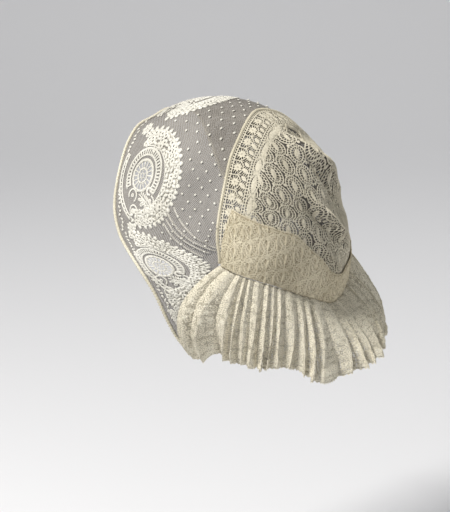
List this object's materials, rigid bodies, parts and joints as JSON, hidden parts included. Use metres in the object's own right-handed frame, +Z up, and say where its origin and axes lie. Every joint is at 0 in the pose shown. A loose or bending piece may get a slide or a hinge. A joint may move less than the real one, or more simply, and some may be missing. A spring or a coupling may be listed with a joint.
{
  "type": "lace cap",
  "caption": "Fitted lace cap worn on the head: patterned net over the top and cheeks, a coarser crown set in at the back, a turned-up band and a pleated frill at the nape.",
  "frame": {"origin": "head seat: the inside of the cap where the top of the wearer's head touches it", "axes": "+Z up, -Y the way the wearer faces, +X the wearer's left"},
  "size_m": [0.1718, 0.2055, 0.2045],
  "materials": {
    "front_strip": "fine white net lace with denser clothwork",
    "front_edge_heading": "rolled cream lace edge",
    "crown_seam_cord": "corded cotton seam",
    "crown": "coarse ecru lace",
    "turned_up_band": "doubled coarse ecru lace",
    "gathering_cord": "drawn cotton cord",
    "neck_frill": "fine cream lace, pleated"
  },
  "bodies": {
    "root": {"front_strip": "front_strip", "front_edge_heading": "front_edge_heading", "crown_seam_cord": "crown_seam_cord", "crown": "crown", "turned_up_band": "turned_up_band", "gathering_cord": "gathering_cord", "neck_frill": "neck_frill"}
  },
  "joints": []
}
